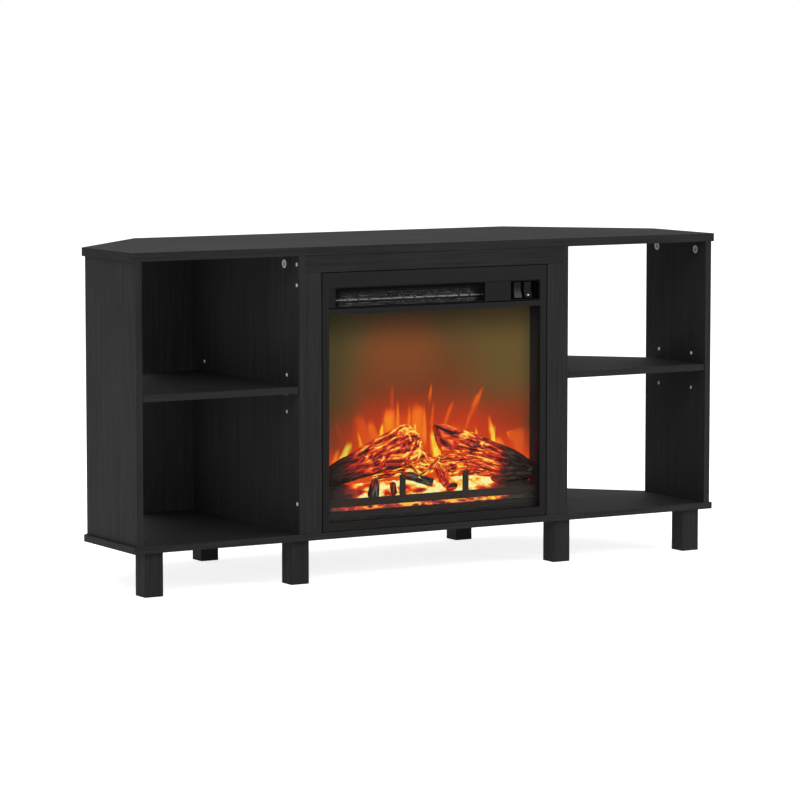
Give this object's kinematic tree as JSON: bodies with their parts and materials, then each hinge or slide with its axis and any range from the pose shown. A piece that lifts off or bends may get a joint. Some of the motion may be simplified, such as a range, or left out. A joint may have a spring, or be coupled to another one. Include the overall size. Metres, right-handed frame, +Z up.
{
  "type": "fireplace tv stand",
  "caption": "Long low black wood-grain media stand with cut back corners, open shelved bays at each side and an electric fireplace insert in the middle.",
  "frame": {"origin": "centre of the stand on the floor", "axes": "+X to the right seen from the front, -Y towards the viewer, +Z up"},
  "size_m": [1.2, 0.404, 0.59],
  "materials": {
    "board_level": "black woodgrain laminate, grain across the stand",
    "board_upright": "black woodgrain laminate, grain upright",
    "back_board": "thin black faced fibreboard",
    "zinc": "die cast zinc, plain",
    "nickel": "nickel plated",
    "black_steel": "satin black powder coat",
    "grille_mesh": "satin black expanded mesh",
    "galvanised": "galvanised sheet",
    "motor_steel": "plain steel",
    "heater_element": "bright tube",
    "gloss_plastic": "gloss black",
    "red_lamp": "lit red lens",
    "glass": "clear, polished",
    "flame_screen": "lit diffusing screen",
    "ember": "lit translucent resin",
    "log": "moulded resin bark, matt",
    "circuit": "green board",
    "rubber": "matt black"
  },
  "bodies": {
    "cabinet": {"top_panel": "board_level", "bottom_panel": "board_level", "left_shelf": "board_level", "right_shelf": "board_level", "surround_top_rail": "board_level", "left_side_panel": "board_upright", "left_partition": "board_upright", "right_side_panel": "board_upright", "right_partition": "board_upright", "surround_left_stile": "board_upright", "surround_right_stile": "board_upright", "leg_front_left_end": "board_upright", "leg_front_left_middle": "board_upright", "leg_front_right_middle": "board_upright", "leg_front_right_end": "board_upright", "leg_back_left": "board_upright", "leg_back_right": "board_upright", "back_panel": "back_board", "cam_left_side_panel_front": "zinc", "cam_left_side_panel_back": "zinc", "cam_left_partition_front": "zinc", "cam_left_partition_back": "zinc", "cam_right_side_panel_front": "zinc", "cam_right_side_panel_back": "zinc", "cam_right_partition_front": "zinc", "cam_right_partition_back": "zinc", "shelf_pin_left_side_panel_front": "nickel", "shelf_pin_left_side_panel_back": "nickel", "shelf_pin_left_partition_front": "nickel", "shelf_pin_left_partition_back": "nickel", "shelf_pin_right_side_panel_front": "nickel", "shelf_pin_right_side_panel_back": "nickel", "shelf_pin_right_partition_front": "nickel", "shelf_pin_right_partition_back": "nickel", "insert_front_frame": "black_steel", "insert_case": "black_steel", "control_strip": "black_steel", "hearth_ledge": "black_steel", "fire_grate": "black_steel", "mesh_grille": "grille_mesh", "heater_divider": "galvanised", "air_duct": "galvanised", "blower_motor": "motor_steel", "spindle_motor": "motor_steel", "heater_rod": "heater_element", "switch_plate": "gloss_plastic", "window_glass": "glass", "flame_screen": "flame_screen", "ember_bed": "ember", "left_log": "log", "right_log": "log", "centre_log": "log", "split_log": "log", "lamp_board": "circuit", "cord_gland": "rubber"},
    "flame_rocker": {"flame_rocker": "gloss_plastic"},
    "heat_rocker": {"heat_rocker": "gloss_plastic", "heat_lamp": "red_lamp"},
    "blower_wheel": {"blower_wheel": "motor_steel"},
    "flame_spindle": {"flame_spindle": "galvanised"}
  },
  "joints": [
    {"name": "flame_rocker_press", "type": "hinge", "parent": "cabinet", "child": "flame_rocker", "pos_m": [0.1724, -0.1947, 0.49955], "axis": [1, 0, 0], "range_deg": [0, 16]},
    {"name": "heat_rocker_press", "type": "hinge", "parent": "cabinet", "child": "heat_rocker", "pos_m": [0.1937, -0.1947, 0.49955], "axis": [1, 0, 0], "range_deg": [0, 16]},
    {"name": "blower_spin", "type": "hinge", "parent": "cabinet", "child": "blower_wheel", "pos_m": [0, -0.1247, 0.4961], "axis": [1, 0, 0], "continuous": true},
    {"name": "flame_spindle_spin", "type": "hinge", "parent": "cabinet", "child": "flame_spindle", "pos_m": [0, -0.117, 0.154], "axis": [1, 0, 0], "continuous": true}
  ]
}
